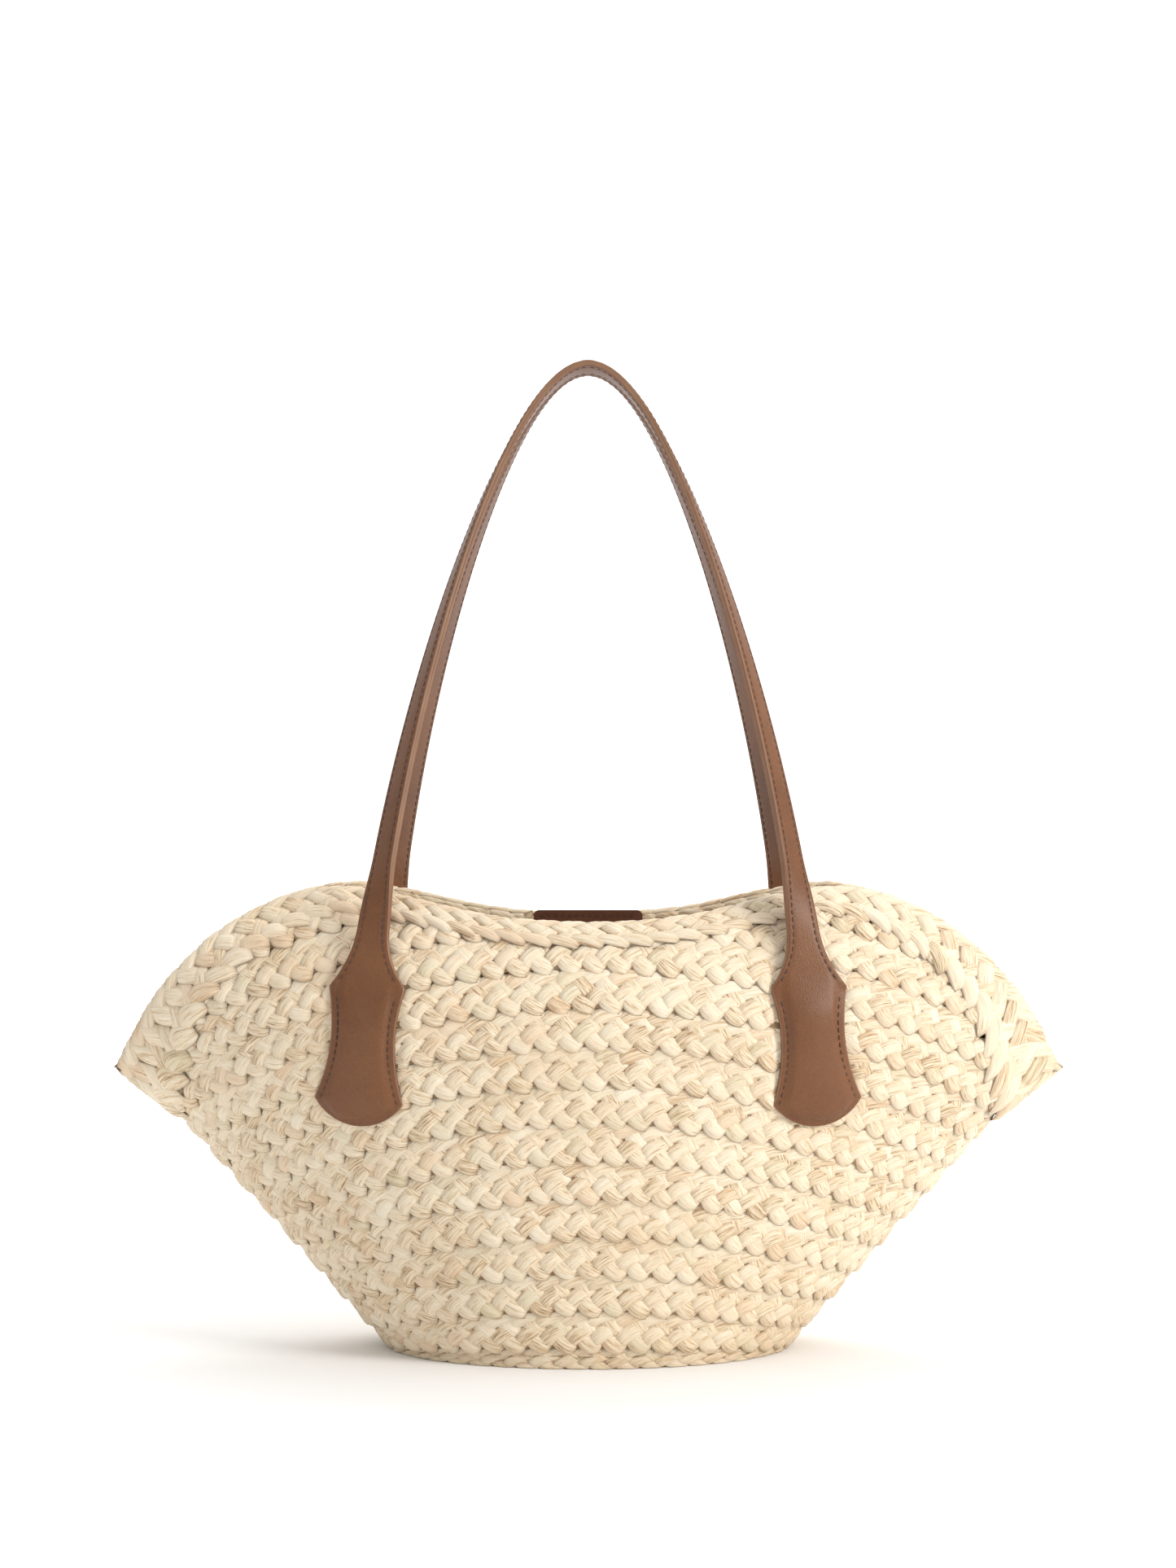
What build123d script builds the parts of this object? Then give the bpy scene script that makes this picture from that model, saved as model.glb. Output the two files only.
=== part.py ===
"""Beach bag: an oval-based basket of sewn braid with two leather shoulder straps.

Frame: origin at the middle of the base on the surface it stands on, +Z up, X across the
bag's width, Y through its depth, with the front at -Y. Millimetres.
"""
from build123d import *
import math
import os

# ---- Driving dimensions: the basket ------------------------------------------------------
BASE_HALF_WIDTH = 99.5       # oval base, across
BASE_HALF_DEPTH = 70.0       # oval base, front to back
SIDE_FLARE = 0.923           # how far each side line moves out for each millimetre of height
NOTCH_HEIGHT = 117.6         # where the rim braid turns round the side to the back
WING_TIP = (240.0, 140.0)    # the end of the mouth, across and up
WING_REACH = 53.0            # how far the side can move out above the notch
WING_RISE = 26.0             # height over which most of that happens
BASE_FULLNESS = 0.5          # exponent of the base's section, 0.5 being an ellipse
MOUTH_FULLNESS = 0.35        # how much it has grown at the wing tips, towards a lens
BELLY = 15.0                 # how much deeper the belly is than the base
BELLY_HEIGHT = 130.0         # where the belly is deepest
LEAN_HEIGHT = 165.0          # above this the wall leans in towards the mouth
LEAN_REACH = 27.0            # how far it has leaned in at the middle of the rim
LEAN_CURVE = 1.7             # exponent of that lean
RIM_DIP = 216.6              # height of the rim at the middle
WALL = 5.0                   # thickness of the braid
SIDE_WALL = 8.5              # the same measured level at the sloping sides
FLOOR = 5.0                  # thickness of the base braid
BRAID = 18.4                 # height of one turn of braid at the middle of the front
SIDE_RISE = 13.1             # height of one turn of braid at the sides
FIRST_SEAM = 10.2            # height of the lowest seam at the middle of the front
LOWEST_SIDE_SEAM = 3.0       # height of that seam at the sides
NOTCH_TURN = 10              # the last turn whose seam ends below the notch
TURNS = 12                   # turns of braid between the base and the rim braid
BASE_TURN = 19.0             # width of one turn of braid in the base
BASE_INSET = 6.0             # distance of the outermost turn's outline from the base's edge

# ---- Driving dimensions: the leather -----------------------------------------------------
FOLD_HEIGHT = 184.0          # where each strap bends away from its tab
STRAP_X = 107.0              # half the distance between the two ends of a strap
STRAP_TOP = 493.5            # middle of the strap at the top of its arch
STRAP_WIDTH = 16.0
LAYER = 1.65                 # thickness of one layer of strap leather
FLARE_LENGTH = 30.0          # the strap widens towards the tab over this length
FLARE_WIDTH = 37.0           # width of strap and tab where they meet
FLARE_CURVE = 2.2            # exponent of that widening
FLARE_SECTIONS = 6
ARCH_FOOT = (7.5, 112.0)     # how a leg leaves its foot: inwards, and up
ARCH_SHOULDER = 45.0         # half the width over which the arch is rounded
FOOT_GAP = 1.6               # height of a strap's foot above its tab
FOOT_CLEAR = 0.6             # gap between a strap's foot and the wall
TOP_CLEAR = 0.5              # half the gap between the two straps at the top
STATION_STEP = 15.0          # length of strap between two of its sections
BASE_TWIST = 11.0            # degrees the strap is turned out with the wall at its foot
TOP_TWIST = 90.0             # degrees it is turned on edge at the top
EARLY_TWIST = 30.0           # how much of that comes just above the flare
TWIST_START = 20.0           # length of strap where the early twist starts
TWIST_LENGTH = 45.0          # and the length that it takes
TAB_LEATHER = 2.2            # thickness of a tab's border
TAB_PADDING = 1.1            # how far a tab's middle stands above its border
TAB_BORDER = 4.3             # width of that border
TAB_WAIST = (15.7, 155.0)    # half-width and height of a tab's narrowest place
TAB_CORNER = (21.8, 130.0)   # half-width and height of a tab's lower corners
TAB_LOWEST = 118.0
TAB_SPLAY = 4.6              # how much further out a tab's lower end is than its fold
BACKING = 1.6                # thickness of the patch inside the wall behind each tab
BACKING_INSET = 2.0          # how much smaller it is than the tab
PATCH = (57.0, 36.0)         # the patch inside the back wall, wide and high
PATCH_TOP = 217.6
PATCH_LEATHER = 1.4
PATCH_CORNER = 3.0
PATCH_STITCH_LIFT = 0.6      # gap under a stitch of the patch, which lies on a hollow curve
STITCH = (2.4, 0.7)          # length and thickness of one stitch
STITCH_PITCH = 3.6
STITCH_INSET = 2.7           # distance of a stitch line from the leather's edge
FIRST_STITCH = 4.0           # distance of a tab's first stitch from its fold
STITCH_PROUD = 0.4           # thickness of a stitch
STITCH_LIFT = 0.2            # gap under a stitch, so that it lies on the leather
REACH = 150.0                # longer than the bag is deep
NEAR = 0.5                   # distance over which a slope of the wall is measured
UNDERSIDE = ((114.5, 0.0), (110.0, -20.0))  # a line round the outside of the base

os.makedirs("parts", exist_ok=True)


def write(builder, name):
    """Label a finished piece and write it to its own file."""
    builder.part.label = name
    export_step(builder.part, f"parts/{name}.step")


def write_copies(builder, name, places):
    """Write a piece and its mirrored copies: places give a name and the mirror planes."""
    for place, planes in places:
        copy_of = builder.part
        for plane in planes:
            copy_of = copy_of.mirror(plane)
        with BuildPart() as copy:
            add(copy_of)
        write(copy, f"{name}_{place}")


SIDES = (("front", ()), ("rear", (Plane.XZ,)))
CORNERS = (("front_right", ()), ("front_left", (Plane.YZ,)),
           ("rear_right", (Plane.XZ,)), ("rear_left", (Plane.XZ, Plane.YZ)))


# ---- The wall's shape --------------------------------------------------------------------
def half_width(z):
    """Distance from the middle to the side crease at height z."""
    straight = BASE_HALF_WIDTH + SIDE_FLARE * z
    if z <= NOTCH_HEIGHT:
        return straight
    above = z - NOTCH_HEIGHT
    return BASE_HALF_WIDTH + SIDE_FLARE * NOTCH_HEIGHT + WING_REACH * (1.0 - math.exp(-above / WING_RISE))


def half_depth(z):
    """Distance from the middle plane to the outside of the wall at height z."""
    belly = BELLY * math.sin(math.pi / 2 * min(z / BELLY_HEIGHT, 1.0))
    above = max(z - LEAN_HEIGHT, 0.0) / (RIM_DIP - LEAN_HEIGHT)
    return BASE_HALF_DEPTH + belly - LEAN_REACH * above**LEAN_CURVE


def fullness(z):
    """Exponent of a level section: 0.5 is an ellipse, 1.0 a lens with creased sides."""
    return BASE_FULLNESS + MOUTH_FULLNESS * min(z / WING_TIP[1], 1.0)


def wall_depth(x, z, side_inset=0.0, depth_inset=0.0):
    """Distance of the wall, or of a form inside or outside it, from the middle plane."""
    across = min(abs(x) / (half_width(z) - side_inset), 1.0)
    return (half_depth(z) - depth_inset) * (1.0 - across * across) ** fullness(z)


SECTION_HEIGHTS = (0.0, 30.0, 60.0, 90.0, 118.0, 135.0, 155.0, 175.0, 195.0, 215.0, 238.0)
SECTION_POINTS = 16


def basket_solid(side_inset, depth_inset):
    """The basket's form as one solid, moved in by the given amounts (out if negative)."""
    with BuildPart() as form:
        for z in SECTION_HEIGHTS:
            width = half_width(z) - side_inset
            depth = half_depth(z) - depth_inset
            power = 2.0 * fullness(z)
            turns = [math.pi * (i / SECTION_POINTS - 0.5) for i in range(SECTION_POINTS + 1)]
            front = [(width * math.sin(t), -depth * math.cos(t) ** power) for t in turns[1:-1]]
            front = [(-width, 0.0)] + front + [(width, 0.0)]
            back = [(x, -y) for x, y in reversed(front)]
            with BuildSketch(Plane.XY.offset(z)):
                with BuildLine():
                    Spline(*front)
                    Spline(*back)
                make_face()
        loft()
    return form.part


outside = basket_solid(0.0, 0.0)
inside = basket_solid(SIDE_WALL, WALL)
with BuildPart() as shell:
    add(outside)
    add(inside, mode=Mode.SUBTRACT)


# ---- Seams in the front view -------------------------------------------------------------
def seam_circle(turn):
    """Centre height and radius of the arc along the top of a turn of braid."""
    middle = FIRST_SEAM + BRAID * (turn - 1)
    side = max(SIDE_RISE * (turn - 1), LOWEST_SIDE_SEAM)
    rise = middle - side
    reach = half_width(side) if turn <= NOTCH_TURN else BASE_HALF_WIDTH + SIDE_FLARE * side
    radius = (reach * reach + rise * rise) / (2.0 * rise)
    return middle - radius, radius


RIM_POINTS = ((0, RIM_DIP), (32, 217.8), (62, 222.3), (91, 229.0), (125, 233.3), (152, 228.0),
              (190, 206.0), (216, 179.0), WING_TIP)
SEAM_POINTS = ((0, 205.4), (32, 206.6), (62, 211.0), (91, 217.0), (122, 220.3), (148, 212.0),
               (176, 191.5), (197, 160.0), (208, NOTCH_HEIGHT))


def mirrored(points):
    """The same outline on both sides of the middle, from left to right."""
    return [(-x, z) for x, z in reversed(points[1:])] + list(points)


def below_curve(points, side_points):
    """Front-view face under a spline, closed round the bottom of the basket."""
    curve = mirrored(points)
    with BuildSketch() as face:
        with BuildLine():
            Spline(*curve)
            Polyline(curve[-1], *side_points, *[(-x, z) for x, z in reversed(side_points)], curve[0])
        make_face()
    return face.sketch


NOTCH = (half_width(NOTCH_HEIGHT) + NEAR, NOTCH_HEIGHT)
below_rim = below_curve(RIM_POINTS, (NOTCH, *UNDERSIDE))
below_seam = below_curve(SEAM_POINTS, (NOTCH, *UNDERSIDE))

# ---- Base: a braid wound in an oval, as a core and two turns ------------------------------
for turn in range(3):
    name = "base_core" if turn == 2 else f"base_turn_{2 - turn}"
    width = BASE_HALF_WIDTH - BASE_INSET - BASE_TURN * turn
    depth = BASE_HALF_DEPTH - BASE_INSET - BASE_TURN * turn
    with BuildPart() as base_piece:
        add(inside)
        with BuildSketch(Plane.XY):
            if turn == 0:
                Rectangle(4 * BASE_HALF_WIDTH, 4 * BASE_HALF_DEPTH)
            else:
                Ellipse(width, depth)
            if turn < 2:
                Ellipse(width - BASE_TURN, depth - BASE_TURN, mode=Mode.SUBTRACT)
        extrude(amount=FLOOR, mode=Mode.INTERSECT)
    write(base_piece, name)

# ---- Wall: turns of braid that arch across the front and fall towards the sides -----------
for turn in range(1, TURNS + 1):
    last = turn == TURNS
    with BuildPart() as course:
        add(shell.part)
        with BuildSketch(Plane.XZ):
            if last:
                Rectangle(4 * REACH, 4 * REACH)
            else:
                height, radius = seam_circle(turn)
                with Locations((0, height)):
                    Circle(radius)
            if turn > 1:
                height, radius = seam_circle(turn - 1)
                with Locations((0, height)):
                    Circle(radius, mode=Mode.SUBTRACT)
            add(below_seam, mode=Mode.INTERSECT)
        extrude(amount=REACH, both=not last, mode=Mode.INTERSECT)
    if last:
        write_copies(course, f"wall_course_{turn:02d}", SIDES)
    else:
        write(course, f"wall_course_{turn:02d}")

# ---- Rim: one braid along the mouth that turns round the wing tips ------------------------
with BuildPart() as rim_braid:
    add(shell.part)
    with BuildSketch(Plane.XZ):
        add(below_rim)
        add(below_seam, mode=Mode.SUBTRACT)
    extrude(amount=REACH, both=True, mode=Mode.INTERSECT)
write(rim_braid, "rim_braid")


# ---- Leather tabs, their backings and their stitches --------------------------------------
def tab_outline(shrink):
    """A tab seen from the front, measured from the middle of its fold, less a border."""
    top = (FLARE_WIDTH / 2 - shrink, -shrink)
    waist = (TAB_WAIST[0] - shrink, TAB_WAIST[1] - FOLD_HEIGHT)
    corner = (TAB_CORNER[0] - shrink, TAB_CORNER[1] - FOLD_HEIGHT)
    lowest = (0, TAB_LOWEST - FOLD_HEIGHT + shrink)
    with BuildSketch() as face:
        with BuildLine():
            ThreePointArc(top, waist, corner)
            ThreePointArc(corner, lowest, (-corner[0], corner[1]))
            ThreePointArc((-corner[0], corner[1]), (-waist[0], waist[1]), (-top[0], top[1]))
            Line((-top[0], top[1]), top)
        make_face()
    return face.sketch


def tab_edge(height):
    """Half-width of a tab at a height between its fold and its lower corners."""
    share = (FOLD_HEIGHT - height) / (FOLD_HEIGHT - TAB_CORNER[1])
    sag = 4.0 * share * (1.0 - share)
    straight = FLARE_WIDTH / 2 + share * (TAB_CORNER[0] - FLARE_WIDTH / 2)
    middle = (FLARE_WIDTH / 2 + TAB_CORNER[0]) / 2
    return straight - sag * (middle - TAB_WAIST[0])


def tab_stitch_point(height, hand):
    """Front-view place of a stitch on the right-hand tab, on the side given by hand."""
    across = hand * (tab_edge(height) - STITCH_INSET)
    return STRAP_X + across + splay * (FOLD_HEIGHT - height), height + splay * across


def stitch_plane(start, end, insets, wall_side, outward, lift):
    """Plane of one stitch between two front-view places on a form's surface."""
    x = (start[0] + end[0]) / 2
    z = (start[1] + end[1]) / 2
    depth = wall_depth(x, z, *insets)
    slope_x = (wall_depth(x + NEAR, z, *insets) - wall_depth(x - NEAR, z, *insets)) / (2 * NEAR)
    slope_z = (wall_depth(x, z + NEAR, *insets) - wall_depth(x, z - NEAR, *insets)) / (2 * NEAR)
    normal = Vector(-slope_x, wall_side, -slope_z).normalized() * outward
    run = Vector(end[0] - start[0], 0, end[1] - start[1])
    along = run + Vector(0, wall_side * (run.X * slope_x + run.Z * slope_z), 0)
    place = Vector(x, wall_side * depth, z) + normal * lift
    return Plane(origin=place, x_dir=along, z_dir=normal)


border_form = basket_solid(-TAB_LEATHER, -TAB_LEATHER)
padded_form = basket_solid(-TAB_LEATHER - TAB_PADDING, -TAB_LEATHER - TAB_PADDING)
backing_form = basket_solid(SIDE_WALL + BACKING, WALL + BACKING)

splay = TAB_SPLAY / (FOLD_HEIGHT - TAB_LOWEST)
tab_plane = Plane(origin=(STRAP_X, 0, FOLD_HEIGHT), x_dir=(1, 0, splay), z_dir=(0, -1, 0))

with BuildPart() as padding:
    add(padded_form)
    with BuildSketch(tab_plane):
        add(tab_outline(TAB_BORDER))
    extrude(amount=REACH, mode=Mode.INTERSECT)

with BuildPart() as tab:
    add(border_form)
    with BuildSketch(tab_plane):
        add(tab_outline(0.0))
    extrude(amount=REACH, mode=Mode.INTERSECT)
    add(padding.part)
    add(outside, mode=Mode.SUBTRACT)
write_copies(tab, "tab", CORNERS)

with BuildPart() as backing:
    add(inside)
    with BuildSketch(tab_plane):
        add(tab_outline(BACKING_INSET))
    extrude(amount=REACH, mode=Mode.INTERSECT)
    add(backing_form, mode=Mode.SUBTRACT)
write_copies(backing, "tab_backing", CORNERS)

tab_surface = (-TAB_LEATHER, -TAB_LEATHER)
stitches_down = int((FOLD_HEIGHT - TAB_CORNER[1] - FIRST_STITCH) / STITCH_PITCH)
with BuildPart() as tab_stitches:
    for hand in (1, -1):
        for i in range(stitches_down):
            height = FOLD_HEIGHT - FIRST_STITCH - STITCH_PITCH * i
            start = tab_stitch_point(height, hand)
            end = tab_stitch_point(height - STITCH[0], hand)
            with BuildSketch(stitch_plane(start, end, tab_surface, -1, 1, STITCH_LIFT)):
                SlotOverall(*STITCH)
    extrude(amount=STITCH_PROUD)
write_copies(tab_stitches, "tab_stitches", CORNERS)

# ---- Leather patch sewn inside the back wall at the middle of the rim ----------------------
patch_middle = (0, PATCH_TOP - PATCH[1] / 2)
patch_form = basket_solid(SIDE_WALL + PATCH_LEATHER, WALL + PATCH_LEATHER)

with BuildPart() as inner_patch:
    add(inside)
    with BuildSketch(Plane.XZ):
        with Locations(patch_middle):
            RectangleRounded(*PATCH, PATCH_CORNER)
    extrude(amount=-REACH, mode=Mode.INTERSECT)
    add(patch_form, mode=Mode.SUBTRACT)
write(inner_patch, "inner_patch")

patch_surface = (SIDE_WALL + PATCH_LEATHER, WALL + PATCH_LEATHER)
row = PATCH[0] - 2 * STITCH_INSET
column = PATCH[1] - 2 * STITCH_INSET
with BuildPart() as patch_stitches:
    for i in range(int(row / STITCH_PITCH)):
        x = STITCH_PITCH * (i + 0.5) - row / 2
        for z in (patch_middle[1] - column / 2, patch_middle[1] + column / 2):
            ends = ((x - STITCH[0] / 2, z), (x + STITCH[0] / 2, z))
            with BuildSketch(stitch_plane(*ends, patch_surface, 1, -1, PATCH_STITCH_LIFT)):
                SlotOverall(*STITCH)
    for i in range(1, int(column / STITCH_PITCH)):
        z = patch_middle[1] - column / 2 + STITCH_PITCH * i
        for x in (-row / 2, row / 2):
            ends = ((x, z - STITCH[0] / 2), (x, z + STITCH[0] / 2))
            with BuildSketch(stitch_plane(*ends, patch_surface, 1, -1, PATCH_STITCH_LIFT)):
                SlotOverall(*STITCH)
    extrude(amount=STITCH_PROUD)
write(patch_stitches, "patch_stitches")


# ---- Straps: two layers of leather that turn on edge from the tab to the top of the arch ---
foot_height = FOLD_HEIGHT + FOOT_GAP
foot_depth = wall_depth(STRAP_X, foot_height) + FOOT_CLEAR + LAYER
top_depth = STRAP_WIDTH / 2 + TOP_CLEAR
strap_lean = math.atan2(foot_depth - top_depth, STRAP_TOP - foot_height)
arch_height = (STRAP_TOP - foot_height) / math.cos(strap_lean)
ARCH_CURVE = (Vector(STRAP_X, 0), Vector(STRAP_X - ARCH_FOOT[0], ARCH_FOOT[1]),
              Vector(ARCH_SHOULDER, arch_height), Vector(0, arch_height))


def arch_point(share):
    """Point and direction on the right half of the arch, in the strap's leaning plane."""
    rest = 1.0 - share
    a, b, c, d = ARCH_CURVE
    point = a * rest**3 + b * (3 * rest**2 * share) + c * (3 * rest * share**2) + d * share**3
    along = (b - a) * rest**2 + (c - b) * (2 * rest * share) + (d - c) * share**2
    return point, along.normalized()


def arch_stations():
    """Shares of the curve at the strap's sections, with the length of strap below each."""
    fine = 2000
    flare_step = FLARE_LENGTH / FLARE_SECTIONS
    marks = [flare_step * i for i in range(FLARE_SECTIONS)]
    stations = []
    length = 0.0
    before = ARCH_CURVE[0]
    for i in range(fine + 1):
        point, _ = arch_point(i / fine)
        length += (point - before).length
        before = point
        if marks and length >= marks[0]:
            stations.append((i / fine, marks.pop(0)))
            if not marks and i < fine:
                marks.append(stations[-1][1] + (STATION_STEP if length > FLARE_LENGTH else flare_step))
    if length - stations[-1][1] < STATION_STEP / 2:
        stations.pop()
    stations.append((1.0, length))
    return stations, length


def strap_twist(length, whole):
    """Radians that the strap has turned on edge after a length of strap from its foot."""
    early = min(max((length - TWIST_START) / TWIST_LENGTH, 0.0), 1.0)
    early = early * early * (3.0 - 2.0 * early)
    steady = (TOP_TWIST - EARLY_TWIST - BASE_TWIST) * length / whole
    return math.radians(BASE_TWIST + EARLY_TWIST * early + steady)


def strap_width(length):
    """Width of the strap after a length from its foot, where it flares to meet the tab."""
    flare = max(1.0 - length / FLARE_LENGTH, 0.0)
    return STRAP_WIDTH + (FLARE_WIDTH - STRAP_WIDTH) * flare**FLARE_CURVE


def strap_sections():
    """Plane and width of each section of the front strap's right leg, from foot to top."""
    lean_in = Vector(0, math.sin(strap_lean), math.cos(strap_lean))
    facing = Vector(0, -math.cos(strap_lean), math.sin(strap_lean))
    across = Vector(1, 0, 0)
    foot = Vector(0, -foot_depth, foot_height)
    stations, whole = arch_stations()
    sections = []
    for share, length in stations:
        point, along = arch_point(share)
        place = foot + across * point.X + lean_in * point.Y
        up = across * along.X + lean_in * along.Y
        outward = across * along.Y - lean_in * along.X
        twist = strap_twist(length, whole)
        face = facing * math.cos(twist) + outward * math.sin(twist)
        sections.append((Plane(origin=place, x_dir=face.cross(up), z_dir=up), strap_width(length)))
    return sections


for layer, middle in (("outer", LAYER / 2), ("lining", -LAYER / 2)):
    with BuildPart() as strap_layer:
        for plane, width in strap_sections():
            with BuildSketch(plane):
                with Locations((0, middle)):
                    Rectangle(width, LAYER)
        loft(ruled=True)
        mirror(about=Plane.YZ)
    write_copies(strap_layer, f"strap_{layer}", SIDES)
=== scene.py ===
import math

import bmesh
import bpy
import numpy as np
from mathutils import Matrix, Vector


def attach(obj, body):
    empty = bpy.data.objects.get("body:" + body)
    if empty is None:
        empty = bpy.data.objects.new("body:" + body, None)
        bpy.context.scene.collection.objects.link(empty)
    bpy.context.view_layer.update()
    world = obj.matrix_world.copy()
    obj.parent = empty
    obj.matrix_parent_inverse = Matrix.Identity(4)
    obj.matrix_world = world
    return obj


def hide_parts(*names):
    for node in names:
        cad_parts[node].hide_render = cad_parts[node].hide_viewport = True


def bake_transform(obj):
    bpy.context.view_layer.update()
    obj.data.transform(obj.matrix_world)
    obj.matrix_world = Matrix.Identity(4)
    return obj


bl_info = {
    "name": "Braided beach bag",
    "version": (1, 0, 0),
    "blender": (4, 5, 0),
    "location": "View3D > Sidebar > Beach bag",
    "description": "A basket tote of sewn flat braid with two leather shoulder straps",
    "category": "Object",
}

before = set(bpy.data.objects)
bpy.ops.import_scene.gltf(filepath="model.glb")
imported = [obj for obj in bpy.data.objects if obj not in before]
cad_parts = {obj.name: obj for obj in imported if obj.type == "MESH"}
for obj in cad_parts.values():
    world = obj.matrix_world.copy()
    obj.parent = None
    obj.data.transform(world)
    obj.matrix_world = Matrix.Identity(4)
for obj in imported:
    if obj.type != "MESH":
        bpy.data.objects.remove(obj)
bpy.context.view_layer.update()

# ---- The basket's form, the same as the frame's, in metres ---------------------------------
BASE_HALF_WIDTH = 0.0995
BASE_HALF_DEPTH = 0.070
SIDE_FLARE = 0.923
NOTCH_HEIGHT = 0.1176
WING_TIP = (0.240, 0.140)
WING_REACH = 0.053
WING_RISE = 0.026
BASE_FULLNESS = 0.5
MOUTH_FULLNESS = 0.35
BELLY = 0.015
BELLY_HEIGHT = 0.130
LEAN_HEIGHT = 0.165
LEAN_REACH = 0.027
LEAN_CURVE = 1.7
RIM_DIP = 0.2166
WALL = 0.005
TURN_HEIGHT = 0.0184
SIDE_RISE = 0.0131
LOWEST_SIDE_SEAM = 0.003
FIRST_SEAM = 0.0102
BASE_LIFT = 0.0021
BASE_TURN = 0.019
BASE_EDGE = 0.001
BASE_STEP = 0.01767
RIM_POINTS = ((0, RIM_DIP), (0.032, 0.2178), (0.062, 0.2223), (0.091, 0.2290), (0.125, 0.2333),
              (0.152, 0.2280), (0.190, 0.2060), (0.216, 0.1790), WING_TIP)
SEAM_POINTS = ((0, 0.2054), (0.032, 0.2066), (0.062, 0.2110), (0.091, 0.2170), (0.122, 0.2203),
               (0.148, 0.2120), (0.176, 0.1915), (0.197, 0.1600), (0.208, NOTCH_HEIGHT))

# ---- The leather, the same as the frame's, in metres ---------------------------------------
FOLD_HEIGHT = 0.184
FOOT_HEIGHT = 0.1856
STRAP_X = 0.107
STRAP_TOP = 0.4935
STRAP_WIDTH = 0.016
LAYER = 0.00165
FOOT_CLEAR = 0.0006
TOP_DEPTH = 0.0085
ARCH_FOOT = (0.0075, 0.112)
ARCH_SHOULDER = 0.045
BASE_TWIST, EARLY_TWIST, STEADY_TWIST = 11.0, 30.0, 49.0
TWIST_START, TWIST_LENGTH = 0.020, 0.045
FLARE_CURVE = 2.2
FLARE_LENGTH = 0.030
FLARE_WIDTH = 0.037
SINK_LENGTH = 0.012
SINK = 0.0009
TAB_LEATHER = 0.0022
TAB_PADDING = 0.0010
TAB_CROWN = 0.0020
TAB_WAIST = (0.0157, 0.155)
TAB_CORNER = (0.0218, 0.130)
TAB_LOWEST = 0.118
TAB_SPLAY = 0.0046 / (FOLD_HEIGHT - TAB_LOWEST)


def half_width(z):
    """Distance from the middle to the side crease at height z."""
    above = np.maximum(z - NOTCH_HEIGHT, 0.0)
    straight = BASE_HALF_WIDTH + SIDE_FLARE * np.minimum(z, NOTCH_HEIGHT)
    return straight + WING_REACH * (1.0 - np.exp(-above / WING_RISE))


def half_depth(z):
    """Distance from the middle plane to the outside of the wall at height z."""
    belly = BELLY * np.sin(np.pi / 2 * np.clip(z / BELLY_HEIGHT, 0.0, 1.0))
    above = np.maximum(z - LEAN_HEIGHT, 0.0) / (RIM_DIP - LEAN_HEIGHT)
    return BASE_HALF_DEPTH + belly - LEAN_REACH * above**LEAN_CURVE


def wall_depth(x, z):
    """Outside of the wall at a point of the front view."""
    across = np.clip(np.abs(x) / half_width(z), 0.0, 1.0)
    fullness = BASE_FULLNESS + MOUTH_FULLNESS * np.clip(z / WING_TIP[1], 0.0, 1.0)
    return half_depth(z) * (1.0 - across * across) ** fullness


def smooth_curve(points):
    """A smooth height curve through front-view points, the same on both sides of the middle."""
    xs = np.array([p[0] for p in points])
    zs = np.array([p[1] for p in points])
    slopes = np.gradient(zs, xs)
    slopes[0] = 0.0

    def height(x):
        x = np.clip(np.abs(x), 0.0, xs[-1])
        i = np.clip(np.searchsorted(xs, x, side="right") - 1, 0, len(xs) - 2)
        step = xs[i + 1] - xs[i]
        s = (x - xs[i]) / step
        return ((1 + 2 * s) * (1 - s) ** 2 * zs[i] + s * (1 - s) ** 2 * step * slopes[i]
                + s * s * (3 - 2 * s) * zs[i + 1] - s * s * (1 - s) * step * slopes[i + 1])

    return height


rim_height = smooth_curve(RIM_POINTS)
seam_height = smooth_curve(SEAM_POINTS)


def turn_edge(number):
    """Reach and height curve of the seam along the top of a turn of braid."""
    if number == 0:
        return BASE_HALF_WIDTH, lambda x: 0.0 * x
    middle = FIRST_SEAM + TURN_HEIGHT * (number - 1)
    side = max(SIDE_RISE * (number - 1), LOWEST_SIDE_SEAM)
    rise = middle - side
    reach = BASE_HALF_WIDTH + SIDE_FLARE * side
    radius = (reach * reach + rise * rise) / (2.0 * rise)
    return reach, lambda x: middle - radius + np.sqrt(radius * radius - x * x)


class WallBand:
    """A ring of wall between two seams. along runs round it once, across from its lower seam."""

    def __init__(self, lower, upper):
        self.lower = lower
        self.upper = upper

    def surface(self, along, across):
        angle = 2.0 * np.pi * along
        sine = -np.cos(angle)
        facing = np.where(np.sin(angle) >= 0.0, -1.0, 1.0)
        x_low, x_top = self.lower[0] * sine, self.upper[0] * sine
        z_low, z_top = self.lower[1](x_low), self.upper[1](x_top)
        x = x_low + (x_top - x_low) * across
        z = z_low + (z_top - z_low) * across
        return np.stack([x, facing * wall_depth(x, z), z], -1)


class RimBand:
    """The band of the rim, whose two edges are joined square across it."""

    def surface(self, along, across):
        angle = 2.0 * np.pi * along
        sine = -np.cos(angle)
        facing = np.where(np.sin(angle) >= 0.0, -1.0, 1.0)
        rim_x = np.abs(sine) * WING_TIP[0]
        seam_x = np.interp(rim_x, [p[0] for p in RIM_POINTS], [p[0] for p in SEAM_POINTS])
        x = seam_x + (rim_x - seam_x) * across
        z = seam_height(seam_x) + (rim_height(rim_x) - seam_height(seam_x)) * across
        return np.stack([np.sign(sine) * x, facing * wall_depth(x, z), z], -1)


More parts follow.
